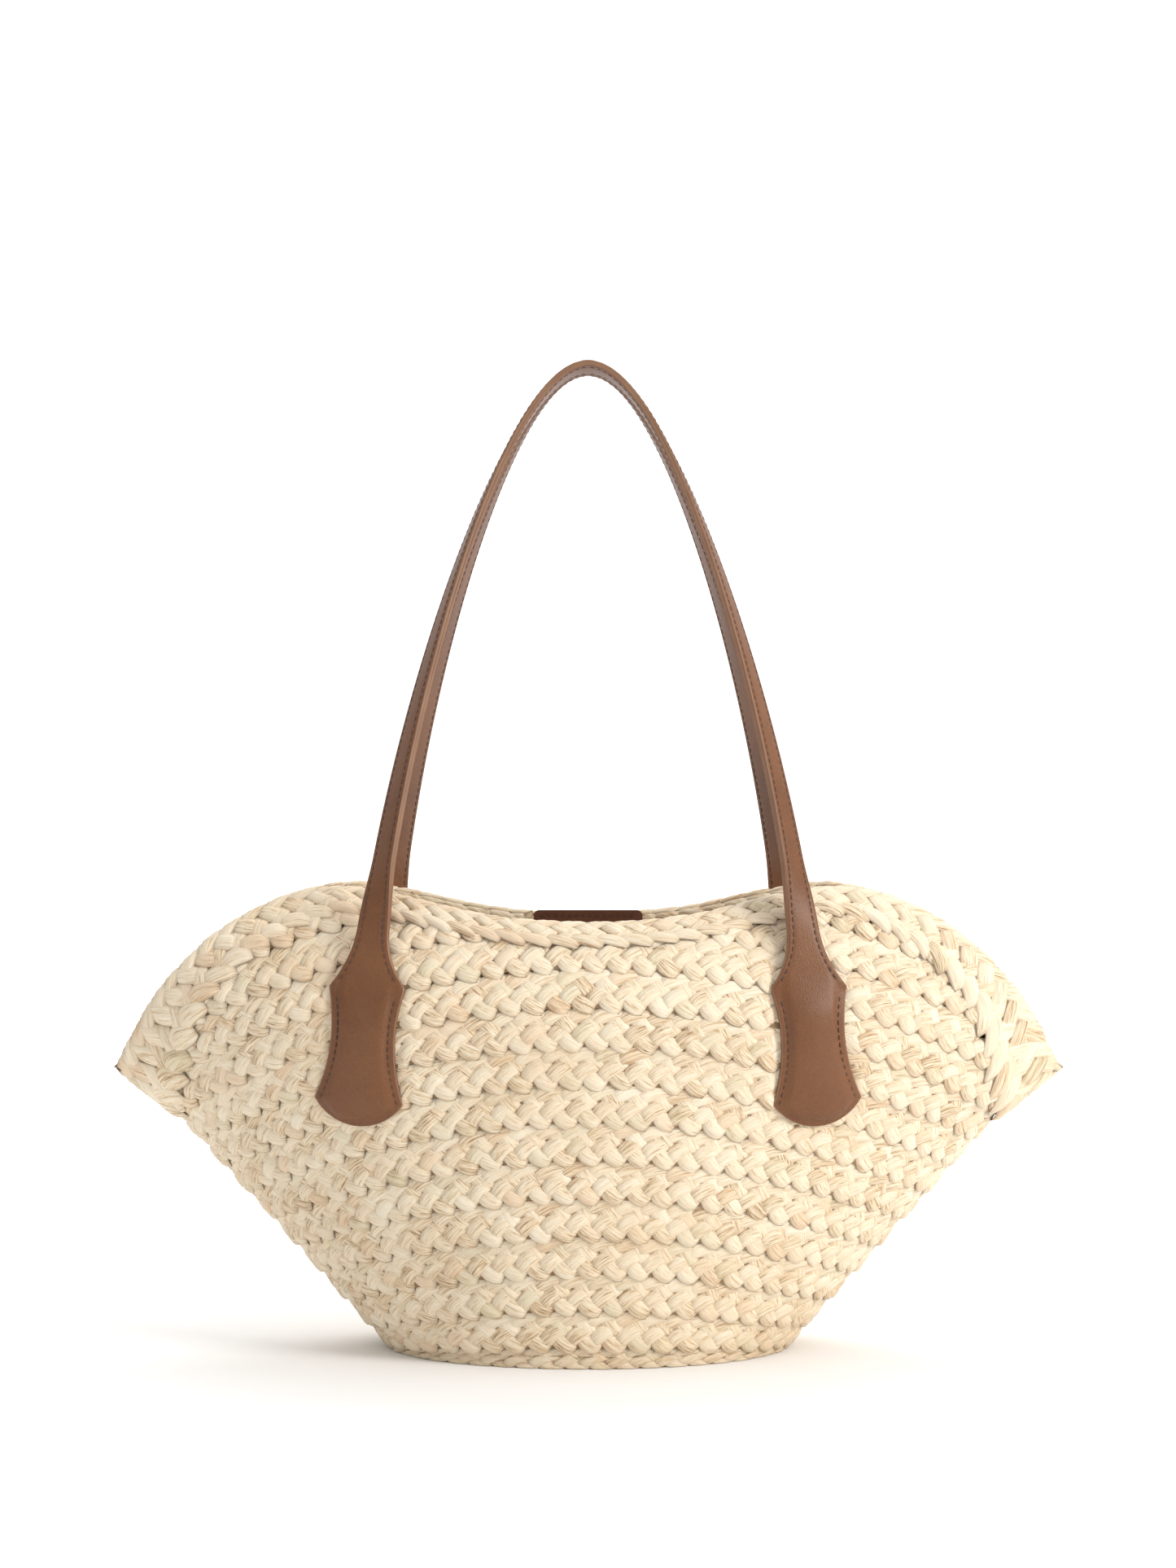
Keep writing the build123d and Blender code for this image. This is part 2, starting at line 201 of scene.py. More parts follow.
class BaseBand:
    """A ring of the base between two ovals, facing down. across runs inwards."""

    def __init__(self, inset):
        self.inset = inset

    def surface(self, along, across):
        angle = 2.0 * np.pi * along
        inset = self.inset + BASE_TURN * across
        width = BASE_HALF_WIDTH - inset
        depth = np.maximum(BASE_HALF_DEPTH - inset, 0.0008)
        return np.stack([-width * np.cos(angle), depth * np.sin(angle), BASE_LIFT + 0.0 * width], -1)


def place_on(band, along, across, proud, side, rounded=False):
    """Points that stand proud of the outer (side 1) or inner (side -1) face of a band.

    A rounded band turns over its top edge in a half circle as thick as the wall.
    """
    step = 1e-4
    radius = WALL / 2
    top = 1.0
    if rounded:
        tall = np.linalg.norm(band.surface(along, np.ones_like(across))
                              - band.surface(along, np.zeros_like(across)), axis=-1)
        top = 1.0 - radius / np.maximum(tall, 2 * radius)
    flat = np.minimum(across, top) if rounded else across
    here = band.surface(along, flat)
    ahead = band.surface(along + step, flat) - band.surface(along - step, flat)
    up = band.surface(along, flat + 0.02) - band.surface(along, flat - 0.02)
    normal = np.cross(ahead, up)
    normal /= np.maximum(np.linalg.norm(normal, axis=-1, keepdims=True), 1e-12)
    up /= np.maximum(np.linalg.norm(up, axis=-1, keepdims=True), 1e-12)
    bend = np.zeros_like(across)
    if rounded:
        limit = np.where(side > 0, OUTER_TURN, INNER_TURN)
        bend = np.minimum(np.maximum(across - top, 0.0) * tall / radius, limit)
    reach = (radius * np.abs(side) + proud)[..., None]
    turned = normal * (side * np.cos(bend))[..., None] + up * np.sin(bend)[..., None]
    point = here - normal * radius + reach * turned
    point[..., 2] = np.maximum(point[..., 2], LOWEST)
    return point


def pressed(points, side, proud):
    """Leaves flattened where leather is sewn against them."""
    x, z = np.abs(points[:, 0]), points[:, 2]
    over = np.clip((z - TAB_LOWEST) / 0.006, 0.0, 1.0)
    over = over * np.clip((FOLD_HEIGHT + 0.010 - z) / 0.008, 0.0, 1.0)
    middle = STRAP_X + TAB_SPLAY * (FOLD_HEIGHT - z)
    under_tab = over * np.clip((0.0215 - np.abs(x - middle)) / 0.004, 0.0, 1.0)
    behind_patch = np.clip((0.031 - x) / 0.003, 0.0, 1.0) * np.clip((z - 0.178) / 0.003, 0.0, 1.0)
    behind_patch = behind_patch * (points[:, 1] > 0.0) * (side < 0)
    amount = np.maximum(under_tab, behind_patch)
    return proud + (np.minimum(proud, 0.0) - 0.0004 - proud) * amount


# ---- Mesh helpers --------------------------------------------------------------------------
def new_piece(name, bm, materials):
    """A finished object at the origin from a bmesh, smooth shaded."""
    mesh = bpy.data.meshes.new(name)
    for face in bm.faces:
        face.smooth = True
    bm.to_mesh(mesh)
    bm.free()
    for material in materials:
        mesh.materials.append(material)
    piece = bpy.data.objects.new(name, mesh)
    bpy.context.scene.collection.objects.link(piece)
    return piece


def read_points(mesh):
    flat = np.empty(len(mesh.vertices) * 3, np.float32)
    mesh.vertices.foreach_get("co", flat)
    return flat.reshape(-1, 3).astype(float)


def write_points(mesh, points):
    mesh.vertices.foreach_set("co", points.astype(np.float32).ravel())
    mesh.update()


def point_attribute(mesh, name, values):
    """A number for each vertex that a material can read."""
    layer = mesh.attributes.new(name, "FLOAT", "POINT")
    layer.data.foreach_set("value", np.asarray(values, np.float32))


def repeated(mesh, count):
    """A bmesh with a mesh in it count times over, in order."""
    bm = bmesh.new()
    for _ in range(count):
        bm.from_mesh(mesh)
    return bm


# ---- One leaf of the plait -----------------------------------------------------------------
WALL_TIERS = (
    # middle along, middle across, length, width, slant in degrees, height, taper, bend
    (0.0000, 0.84, 0.0184, 0.0094, 20.0, 0.0010, 0.55, 0.0022),
    (0.0052, 0.59, 0.0100, 0.0092, 130.0, 0.0008, 0.06, 0.0),
    (0.0012, 0.37, 0.0140, 0.0088, 35.0, 0.0013, 0.42, 0.0012),
    (0.0066, 0.13, 0.0128, 0.0092, 150.0, 0.0011, 0.42, -0.0008),
)
RIM_TIERS = (
    (0.0000, 0.12, 0.0190, 0.0086, 160.0, 0.0013, 0.55, 0.0016),
    (0.0050, 0.38, 0.0108, 0.0092, 48.0, 0.0009, 0.08, 0.0),
    (0.0010, 0.63, 0.0126, 0.0092, 140.0, 0.0011, 0.30, 0.0),
    (0.0062, 0.93, 0.0182, 0.0094, 22.0, 0.0010, 0.42, 0.0016),
)
LEAF_PITCH = 0.0124
PLAIT_HEIGHT = 0.0184
SUNK = 0.0009
CORE_DEPTH = 0.0007
TUCK = 0.004
TUCK_REACH = 0.2085
TUCK_SLOPE = 0.2769
OUTER_TURN, INNER_TURN = 1.9, 1.1
LOWEST = 0.0002


def plait_repeat(tiers):
    """One repeat of the flat plait: its leaves on the outside, then those on the inside.

    x is the distance along the braid, y the share of the way across it, z how proud it stands.
    """
    bm = bmesh.new()
    bm.loops.layers.uv.new("UVMap")
    for side in (1.0, -1.0):
        for along, across, length, width, slant, height, taper, bend in tiers:
            made = bmesh.ops.create_grid(bm, x_segments=7, y_segments=5, size=1.0, calc_uvs=True)
            turn = math.radians(slant)
            for vert in made["verts"]:
                s, t, _ = vert.co
                half = width / 2 * (1.0 - taper * max(s * s - 0.10, 0.0)) ** 0.9
                run = s * length / 2
                rise = t * half - bend * math.copysign(1.0, math.cos(turn)) * (s * s - 0.3)
                dome = max(1.0 - abs(t) ** 3.6, 0.0) ** 0.7 * (1.0 - 0.85 * abs(s) ** 4.0)
                proud = -SUNK + (height + SUNK) * dome
                x = along + run * math.cos(turn) - rise * math.sin(turn)
                y = across + (run * math.sin(turn) + rise * math.cos(turn)) / PLAIT_HEIGHT
                vert.co = (x, y, proud)
            if side < 0.0:
                faces = {face for vert in made["verts"] for face in vert.link_faces}
                bmesh.ops.reverse_faces(bm, faces=list(faces))
    mesh = bpy.data.meshes.new("plait_repeat")
    bm.to_mesh(mesh)
    bm.free()
    return mesh


def braid_piece(name, band, material, tiers=WALL_TIERS, cover=None, seed=1, lift=0.0, shingle=0.0010,
                rounded=False):
    """A ring of plait on a band: its leaves on both faces and a core between them."""
    rng = np.random.default_rng(seed)
    fine = np.linspace(0.0, 1.0, 2001)
    centre = band.surface(fine, np.full_like(fine, 0.5))
    lengths = np.concatenate([[0.0], np.cumsum(np.linalg.norm(np.diff(centre, axis=0), axis=1))])
    count = max(int(round(lengths[-1] / LEAF_PITCH)), 3)
    pitch = lengths[-1] / count
    repeat = plait_repeat(tiers)
    per_repeat = len(repeat.vertices)
    bm = repeated(repeat, count)
    bpy.data.meshes.remove(repeat)
    mesh = bpy.data.meshes.new(name)
    bm.to_mesh(mesh)
    bm.free()

    local = read_points(mesh)
    leaves = len(tiers) * 2
    leaf = np.arange(len(local)) // (per_repeat // leaves)
    total = count * leaves
    side = np.where((np.arange(total) % leaves) < leaves // 2, 1.0, -1.0)[leaf]
    jitter = rng.normal(0.0, 1.0, (total, 4)).clip(-2.0, 2.0)
    start = np.repeat(np.arange(count) * pitch, per_repeat)
    run = start + local[:, 0] * pitch / LEAF_PITCH + 0.0004 * jitter[leaf, 0]
    across = local[:, 1] + 0.014 * jitter[leaf, 1]
    proud = local[:, 2] * (1.0 + 0.10 * jitter[leaf, 2]) + 0.00016 * jitter[leaf, 3]
    proud = proud + lift + shingle * (1.0 - 2.0 * across.clip(0.0, 1.0))
    along = np.interp(run % lengths[-1], lengths, fine) + np.floor(run / lengths[-1])
    proud = pressed(band.surface(along, across), side, proud)
    points = place_on(band, along, across, proud, side, rounded)
    tint = rng.normal(0.5, 0.2, total).clip(0.0, 1.0)
    hue = rng.random(total)

    keep = np.ones(total, bool)
    if cover is not None:
        keep = cover(points.reshape(total, -1, 3).mean(axis=1))
    write_points(mesh, points)
    point_attribute(mesh, "tint", tint[leaf])
    point_attribute(mesh, "hue", hue[leaf])

    bm = bmesh.new()
    bm.from_mesh(mesh)
    bpy.data.meshes.remove(mesh)
    bm.verts.ensure_lookup_table()
    dropped = [bm.verts[i] for i in np.flatnonzero(~keep[leaf])]
    bmesh.ops.delete(bm, geom=dropped, context="VERTS")
    add_core(bm, band, cover, lift, shingle, rounded)
    return new_piece(name, bm, [material])


def add_core(bm, band, cover, lift, shingle, rounded):
    """The heart of the braid just under its leaves, a closed strip up one face and down the other."""
    around, high = 150, 12
    made = bmesh.ops.create_grid(bm, x_segments=around, y_segments=high, size=0.5, calc_uvs=True)
    verts = made["verts"]
    local = np.array([v.co for v in verts])
    level = local[:, 1] * 2.0
    side = np.where(np.abs(level) < 1e-6, 1.0, -np.sign(level))
    across = 1.0 - np.abs(level)
    if rounded:
        across = across * 1.12
    along = local[:, 0] + 0.5
    proud = lift + shingle * (1.0 - 2.0 * across) - CORE_DEPTH
    proud = pressed(band.surface(along, across), side, proud)
    core = place_on(band, along, across, proud, side, rounded)
    if not rounded:
        middle = np.abs(level) < 1e-6
        core[middle] = place_on(band, along[middle], across[middle], 0.0 * proud[middle],
                                0.0 * side[middle], False)
    tint = bm.verts.layers.float.get("tint")
    for vert, point in zip(verts, core):
        vert.co = point
        # A tint of -1 marks the core, which the braid material paints a darker brown as painted shade in
        # the gaps between leaves.
        vert[tint] = -1.0
    if cover is not None:
        shown = cover(core)
        hidden = [v for v, s in zip(verts, shown) if not s]
        bmesh.ops.delete(bm, geom=hidden, context="VERTS")


def under_rim(points):
    """True for places of the wall up to a little way under the rim braid."""
    x, z = np.abs(points[:, 0]), points[:, 2]
    return (z < seam_height(x) + TUCK) & (x < TUCK_REACH + TUCK_SLOPE * (z - NOTCH_HEIGHT))


# ---- Materials -----------------------------------------------------------------------------
class Sockets:
    """Node-making for one material."""

    def __init__(self, name):
        self.material = bpy.data.materials.new(name)
        self.material.use_nodes = True
        self.tree = self.material.node_tree
        self.shader = self.tree.nodes["Principled BSDF"]

    def node(self, kind, settings=None, **values):
        made = self.tree.nodes.new(kind)
        for key, value in (settings or {}).items():
            if key == "ramp":
                ramp = made.color_ramp
                while len(ramp.elements) < len(value):
                    ramp.elements.new(0.5)
                for element, (place, colour) in zip(ramp.elements, value):
                    element.position = place
                    element.color = (*colour, 1.0)
            else:
                setattr(made, key, value)
        for key, value in values.items():
            self.put(made.inputs[key.replace("_", " ")], value)
        return made

    def put(self, socket, value):
        if isinstance(value, Value):
            value = value.socket
        if isinstance(value, bpy.types.NodeSocket):
            self.tree.links.new(value, socket)
        else:
            socket.default_value = value

    def set(self, **values):
        for key, value in values.items():
            self.put(self.shader.inputs[key.replace("_", " ")], value)

    def mix(self, amount, first, second, blend="MIX"):
        made = self.tree.nodes.new("ShaderNodeMix")
        made.data_type = "RGBA"
        made.blend_type = blend
        self.put(made.inputs[0], amount)
        self.put(made.inputs[6], (*first, 1.0) if isinstance(first, tuple) else first)
        self.put(made.inputs[7], (*second, 1.0) if isinstance(second, tuple) else second)
        return made.outputs[2]

    def bump(self, height, strength, distance):
        return self.node("ShaderNodeBump", Height=height, Strength=strength, Distance=distance).outputs[0]


class Value:
    """A number socket that Python arithmetic builds Math nodes on."""

    def __init__(self, maker, socket):
        self.maker = maker
        self.socket = socket

    def math(self, operation, other=None, swapped=False):
        made = self.maker.tree.nodes.new("ShaderNodeMath")
        made.operation = operation
        pair = (other, self) if swapped else (self, other)
        for socket, value in zip(made.inputs, pair):
            if value is not None:
                self.maker.put(socket, value)
        return Value(self.maker, made.outputs[0])

    def __add__(self, other):
        return self.math("ADD", other)

    __radd__ = __add__

    def __mul__(self, other):
        return self.math("MULTIPLY", other)

    __rmul__ = __mul__

    def __sub__(self, other):
        return self.math("SUBTRACT", other)

    def __rsub__(self, other):
        return self.math("SUBTRACT", other, swapped=True)

    def __pow__(self, other):
        return self.math("POWER", other)

    def over(self, other):
        return self.math("GREATER_THAN", other)

    def clamped(self):
        made = self.math("ADD", 0.0)
        made.socket.node.use_clamp = True
        return made


def braid_material():
    """Dried leaf plait: fibres along each leaf, each leaf its own tone, painted shade along each leaf's
    edges and ends, and the core painted a darker brown as painted shade in the gaps.
    """
    m = Sockets("Dried leaf braid")
    tint = Value(m, m.node("ShaderNodeAttribute", {"attribute_name": "tint"}).outputs["Fac"])
    hue = Value(m, m.node("ShaderNodeAttribute", {"attribute_name": "hue"}).outputs["Fac"])
    uv = m.node("ShaderNodeTexCoord").outputs["UV"]
    place = m.node("ShaderNodeTexCoord").outputs["Object"]
    parts = m.node("ShaderNodeSeparateXYZ", Vector=uv)
    across = Value(m, parts.outputs[1])
    along = Value(m, parts.outputs[0])
    stretched = m.node("ShaderNodeCombineXYZ", X=along * 1.3 + tint * 37.0, Y=across * 13.0 + hue * 51.0,
                       Z=tint * 11.0).outputs[0]
    fibres = Value(m, m.node("ShaderNodeTexNoise", Vector=stretched, Scale=1.0, Detail=3.0,
                             Roughness=0.7).outputs[0])
    coarse = m.node("ShaderNodeCombineXYZ", X=along * 1.1 + tint * 19.0, Y=across * 4.0 + hue * 13.0,
                    Z=hue * 5.0).outputs[0]
    bands = Value(m, m.node("ShaderNodeTexNoise", Vector=coarse, Scale=1.0, Detail=2.0).outputs[0])
    patches = Value(m, m.node("ShaderNodeTexNoise", Vector=place, Scale=14.0, Detail=2.0).outputs[0])
    shade = (tint * 0.50 + (fibres - 0.5) * 2.3 + bands * 0.55 + 0.02).clamped()
    leaf = m.node("ShaderNodeValToRGB", {"ramp": (
        (0.0, (0.33, 0.205, 0.105)), (0.20, (0.62, 0.45, 0.275)), (0.45, (0.85, 0.70, 0.50)),
        (1.0, (0.93, 0.84, 0.675)))}, Fac=shade).outputs[0]
    peach = m.mix((hue - 0.80).clamped() * 1.7, leaf, (0.74, 0.47, 0.27))
    green = m.mix((0.16 - hue).clamped() * 1.8, peach, (0.60, 0.56, 0.36))
    low = Value(m, m.node("ShaderNodeSeparateXYZ", Vector=place).outputs[2])
    # Random patches, and the braid below about 18 mm, mix towards a darker brown.
    patchy_darker_low = m.mix(((patches - 0.50).clamped() * 1.0 + (0.018 - low).clamped() * 18.0).clamped(), green,
                 (0.64, 0.46, 0.27))
    # Painted shade: each leaf darkens to a deep brown at its edges and ends, standing in for the shadow
    # in the gaps between leaves.
    edge = ((across - 0.5).math("ABSOLUTE") * 2.0) ** 9.0
    ends = ((along - 0.5).math("ABSOLUTE") * 2.0) ** 10.0
    painted_edge_shade = m.mix((edge * 0.75 + ends * 0.55).clamped(), patchy_darker_low, (0.20, 0.115, 0.055))
    # Painted shade: the core, marked by a tint of -1, is a darker brown than the leaves so that the gaps
    # between leaves read as shadow.
    core = (0.0 - tint).over(0.5)
    m.set(Base_Color=m.mix(core, painted_edge_shade, (0.25, 0.16, 0.085)))
    m.set(Roughness=(0.66 - fibres * 0.16), Specular_IOR_Level=0.28, Sheen_Weight=0.08)
    m.set(Normal=m.bump(fibres * 0.8 + bands * 0.2, 0.9, 0.0009))
    return m.material


def leather_material(name, dark, light, grain=0.35):
    """Leather with a fine pebble grain, cloudy shade and a soft coat."""
    m = Sockets(name)
    place = m.node("ShaderNodeTexCoord").outputs["Object"]
    cells = Value(m, m.node("ShaderNodeTexVoronoi", {"feature": "F1"}, Vector=place,
                            Scale=1500.0).outputs[0])
    creases = Value(m, m.node("ShaderNodeTexNoise", Vector=place, Scale=520.0,
                              Detail=3.0).outputs[0])
    clouds = Value(m, m.node("ShaderNodeTexNoise", Vector=place, Scale=26.0, Detail=4.0,
                             Roughness=0.6).outputs[0])
    shade = (clouds * 0.9 + creases * 0.25 - cells * 0.25).clamped()
    m.set(Base_Color=m.mix(shade, dark, light))
    m.set(Roughness=(0.33 + clouds * 0.14 + cells * 0.10), Specular_IOR_Level=0.4,
          Coat_Weight=0.10, Coat_Roughness=0.3)
    m.set(Normal=m.bump(creases * 0.4 - cells * 0.8, grain, 0.0005))
    return m.material


def edge_material():
    """The smooth painted edge of the leather, its colour varying in soft clouds."""
    m = Sockets("Painted leather edge")
    place = m.node("ShaderNodeTexCoord").outputs["Object"]
    clouds = Value(m, m.node("ShaderNodeTexNoise", Vector=place, Scale=60.0, Detail=3.0).outputs[0])
    m.set(Base_Color=m.mix(clouds, (0.17, 0.080, 0.040), (0.29, 0.150, 0.080)))
    m.set(Roughness=(0.34 + clouds * 0.12), Coat_Weight=0.2, Coat_Roughness=0.25)
    return m.material


def thread_material():
    """Dark waxed thread with the twist of its strands."""
    m = Sockets("Waxed thread")
    place = m.node("ShaderNodeTexCoord").outputs["Object"]
    twist = Value(m, m.node("ShaderNodeTexWave", {"bands_direction": "DIAGONAL"}, Vector=place,
                            Scale=620.0, Distortion=1.5).outputs[1])
    m.set(Base_Color=m.mix(twist, (0.045, 0.018, 0.010), (0.115, 0.052, 0.027)))
    m.set(Roughness=(0.5 + twist * 0.15), Sheen_Weight=0.1)
    m.set(Normal=m.bump(twist, 0.4, 0.0002))
    return m.material


def floor_material():
    m = Sockets("Studio paper")
    place = m.node("ShaderNodeTexCoord").outputs["Object"]
    fibre = Value(m, m.node("ShaderNodeTexNoise", Vector=place, Scale=40.0).outputs[0])
    m.set(Base_Color=m.mix(fibre, (0.93, 0.93, 0.93), (0.95, 0.95, 0.95)), Roughness=0.9,
          Specular_IOR_Level=0.1)
    return m.material


# ---- Straps --------------------------------------------------------------------------------
def tab_half_width(z):
    """Half-width of a tab at a height, down to the end of its rounded tongue."""
    share = (FOLD_HEIGHT - z) / (FOLD_HEIGHT - TAB_CORNER[1])
    straight = FLARE_WIDTH / 2 + share * (TAB_CORNER[0] - FLARE_WIDTH / 2)
    middle = (FLARE_WIDTH / 2 + TAB_CORNER[0]) / 2
    side = straight - 4.0 * share * (1.0 - share) * (middle - TAB_WAIST[0])
    drop = TAB_CORNER[1] - TAB_LOWEST
    radius = (TAB_CORNER[0] ** 2 + drop**2) / (2.0 * drop)
    below = radius**2 - (TAB_LOWEST + radius - z) ** 2
    return side if z >= TAB_CORNER[1] else math.sqrt(max(below, 0.0))


def wall_frame(x, z, wall_side):
    """Point on the wall's outside and the wall's outward direction, front (-1) or rear (1)."""
    step = 0.0005
    depth = wall_depth(x, z)
    slope_x = (wall_depth(x + step, z) - wall_depth(x - step, z)) / (2 * step)
    slope_z = (wall_depth(x, z + step) - wall_depth(x, z - step)) / (2 * step)
    normal = np.stack([-slope_x, wall_side + 0.0 * slope_x, -slope_z], -1)
    normal /= np.linalg.norm(normal, axis=-1, keepdims=True)
    return np.stack([x, wall_side * depth, z], -1), normal


class StrapPath:
    """The right leg of a strap, from its foot at the tab to the top of the arch."""

    def __init__(self, wall_side):
        self.wall_side = wall_side
        foot_depth = float(wall_depth(STRAP_X, FOOT_HEIGHT)) + FOOT_CLEAR + LAYER
        self.lean = math.atan2(foot_depth - TOP_DEPTH, STRAP_TOP - FOOT_HEIGHT)
        top = (STRAP_TOP - FOOT_HEIGHT) / math.cos(self.lean)
        curve = np.array([(STRAP_X, 0.0), (STRAP_X - ARCH_FOOT[0], ARCH_FOOT[1]),
                          (ARCH_SHOULDER, top), (0.0, top)])
        s = np.linspace(0.0, 1.0, 1201)[:, None]
        a, b, c, d = curve
        flat = a * (1 - s) ** 3 + b * 3 * (1 - s) ** 2 * s + c * 3 * (1 - s) * s**2 + d * s**3
        along = (b - a) * (1 - s) ** 2 + (c - b) * 2 * (1 - s) * s + (d - c) * s**2
        along /= np.linalg.norm(along, axis=1, keepdims=True)
        steps = np.linalg.norm(np.diff(flat, axis=0), axis=1)
        self.lengths = np.concatenate([[0.0], np.cumsum(steps)])
        self.whole = self.lengths[-1]
        lean_in = np.array([0.0, -wall_side * math.sin(self.lean), math.cos(self.lean)])
        facing = np.array([0.0, wall_side * math.cos(self.lean), math.sin(self.lean)])
        across = np.array([1.0, 0.0, 0.0])
        foot = np.array([0.0, wall_side * foot_depth, FOOT_HEIGHT])
        self.place = foot + flat[:, :1] * across + flat[:, 1:] * lean_in
        self.up = along[:, :1] * across + along[:, 1:] * lean_in
        outward = along[:, 1:] * across - along[:, :1] * lean_in
        early = np.clip((self.lengths - TWIST_START) / TWIST_LENGTH, 0.0, 1.0)
        early = early * early * (3.0 - 2.0 * early)
        steady = STEADY_TWIST * self.lengths / self.whole
        twist = np.radians(BASE_TWIST + EARLY_TWIST * early + steady)[:, None]
        self.face = facing * np.cos(twist) + outward * np.sin(twist)

    def at(self, length):
        """Point, upward direction and facing direction at a length from the foot."""
        return tuple(np.stack([np.interp(length, self.lengths, rows[:, k]) for k in range(3)], -1)
                     for rows in (self.place, self.up, self.face))

    def half_width(self, length):
        flare = np.clip(1.0 - length / FLARE_LENGTH, 0.0, 1.0)
        return (STRAP_WIDTH + (FLARE_WIDTH - STRAP_WIDTH) * flare**FLARE_CURVE) / 2


PROFILE_ACROSS = 20
STITCH_PITCH = 0.0036
STRAP_STITCH_INSET = 0.0026
TAB_STITCH_INSET = 0.0030


def strap_profile():
    """Closed outline of the leather's section as (across, level, edge) triples.

    level 1 is the outer face and -1 the back; edge marks the painted edge.
    """
    top = [(-0.97 + 1.94 * i / PROFILE_ACROSS, 1.0, 0.0) for i in range(PROFILE_ACROSS + 1)]
    right = [(1.0, 0.72, 1.0), (0.985, 0.06, 1.0), (0.975, 0.0, 1.0), (0.985, -0.06, 1.0),
             (1.0, -0.72, 1.0)]
    bottom = [(-a, -1.0, 0.0) for a, _, _ in top]
    left = [(-a, -level, edge) for a, level, edge in right]
    return top + right + bottom + left


def strap_grid(path):
    """Points of one leg of leather from the tab's tongue up to the top of the arch."""
    profile = np.array(strap_profile())
    a, level = profile[:, 0], profile[:, 1]
    tongue = [TAB_LOWEST + (TAB_CORNER[1] - TAB_LOWEST) * (i / 9.0) ** 2 for i in range(10)]
    tab = list(np.arange(TAB_CORNER[1] + 0.0015, FOLD_HEIGHT - 0.001, 0.0026))
    tab.append(FOLD_HEIGHT - 0.0004)
    rows = []
    for z in tongue + tab:
        half = max(tab_half_width(z), 0.0004)
        x = STRAP_X + a * half + TAB_SPLAY * (FOLD_HEIGHT - z)
        height = z + TAB_SPLAY * a * half
        point, normal = wall_frame(x, height, path.wall_side)
        from_edge = np.minimum((1.0 - np.abs(a)) * half, z - TAB_LOWEST + 0.0005)
        soft = np.clip((from_edge - 0.0034) / 0.0026, 0.0, 1.0)
        groove = 0.00035 * np.exp(-((from_edge - 0.0030) / 0.0007) ** 2) * (z > TAB_CORNER[1])
        padded = TAB_PADDING * soft * soft * (3 - 2 * soft)
        padded = padded + TAB_CROWN * soft * np.cos(np.pi / 2 * np.clip(a, -1, 1))
        rounded = 0.0004 * np.clip(1.0 - from_edge / 0.0006, 0.0, 1.0)
        top = TAB_LEATHER + padded - groove - rounded
        edge = (0.5 + 0.5 * level) * TAB_LEATHER
        thick = np.where(level > 0.9, top, np.where(level < -0.9, 0.0001, edge))
        rows.append(point + normal * thick[:, None])
    lengths = [*np.arange(0.0, 0.036, 0.002), *np.arange(0.040, path.whole - 0.002, 0.0046), path.whole]
    for length in lengths:
        place, up, face = path.at(length)
        outwards = -path.wall_side * np.cross(up, face)
        outwards /= np.linalg.norm(outwards)
        half = float(path.half_width(length))
        from_edge = (1.0 - np.abs(a)) * half
        groove = 0.00022 * np.exp(-((from_edge - 0.0026) / 0.0006) ** 2)
        crown = 0.00028 * np.cos(np.pi / 2 * np.clip(a, -1, 1))
        rounded = 0.00035 * np.clip(1.0 - from_edge / 0.0006, 0.0, 1.0)
        extra = (crown - groove - rounded) * np.where(np.abs(level) > 0.9, np.sign(level), 0.0)
        settle = SINK * max(1.0 - length / SINK_LENGTH, 0.0) ** 2
        thick = level * LAYER + extra
        point = place + outwards * (a * half)[:, None] + face * thick[:, None]
        point = point - face * settle * (level[:, None] > 0.5)
        rows.append(point)
    grid = np.array(rows)
    fold = len(tongue + tab)
    soften = np.clip((0.96 - np.abs(a)) / 0.16, 0.0, 1.0) * (np.abs(level) > 0.9) * 0.5
    for _ in range(14):
        near = grid[fold - 5:fold + 6]
        near[1:-1] += ((near[:-2] + near[2:]) / 2 - near[1:-1]) * soften[:, None]
    return grid


def leather_strap(name, wall_side, materials):
    """A strap with its two tabs as one strip of leather."""
    path = StrapPath(wall_side)
    grid = strap_grid(path)
    left = grid[::-1][1:] * np.array([-1.0, 1.0, 1.0])
    strip = np.concatenate([grid, left])
    stations, ring = strip.shape[:2]
    bm = bmesh.new()
    bm.loops.layers.uv.new("UVMap")
    made = bmesh.ops.create_grid(bm, x_segments=ring, y_segments=stations - 1, size=0.5, calc_uvs=True)
    profile = strap_profile()
    edge_mark = [p[2] for p in profile]
    for vert in made["verts"]:
        i = int(round((vert.co.x + 0.5) * ring)) % ring
        j = int(round((vert.co.y + 0.5) * (stations - 1)))
        vert.co = Vector(strip[j, i])
    bmesh.ops.remove_doubles(bm, verts=bm.verts, dist=1e-7)
    bmesh.ops.holes_fill(bm, edges=[e for e in bm.edges if e.is_boundary], sides=0)
    bmesh.ops.recalc_face_normals(bm, faces=bm.faces)
    mark_edges(bm, strip, edge_mark)
    return new_piece(name, bm, materials)


def mark_edges(bm, strip, edge_mark):
    """Gives the painted-edge material to the faces along the leather's edges."""
    flat = strip.reshape(-1, 3)
    marks = np.tile(np.array(edge_mark), strip.shape[0])
    edges = {tuple(np.round(p * 1e6).astype(int)) for p in flat[marks > 0.5]}
    for face in bm.faces:
        on_edge = [tuple(np.round(np.array(v.co) * 1e6).astype(int)) in edges for v in face.verts]
        if sum(on_edge) >= 2:
            face.material_index = 1


def stitch_mesh():
    """One stitch: a short length of thread with rounded ends that dip into the leather."""
    bm = bmesh.new()
    made = bmesh.ops.create_uvsphere(bm, u_segments=8, v_segments=6, radius=1.0)
    for vert in made["verts"]:
        x, y, z = vert.co
        vert.co = (z * 0.00150, x * 0.00046, y * 0.00036 - 0.00014 * z * z)
    mesh = bpy.data.meshes.new("stitch")
    bm.to_mesh(mesh)
    bm.free()
    return mesh


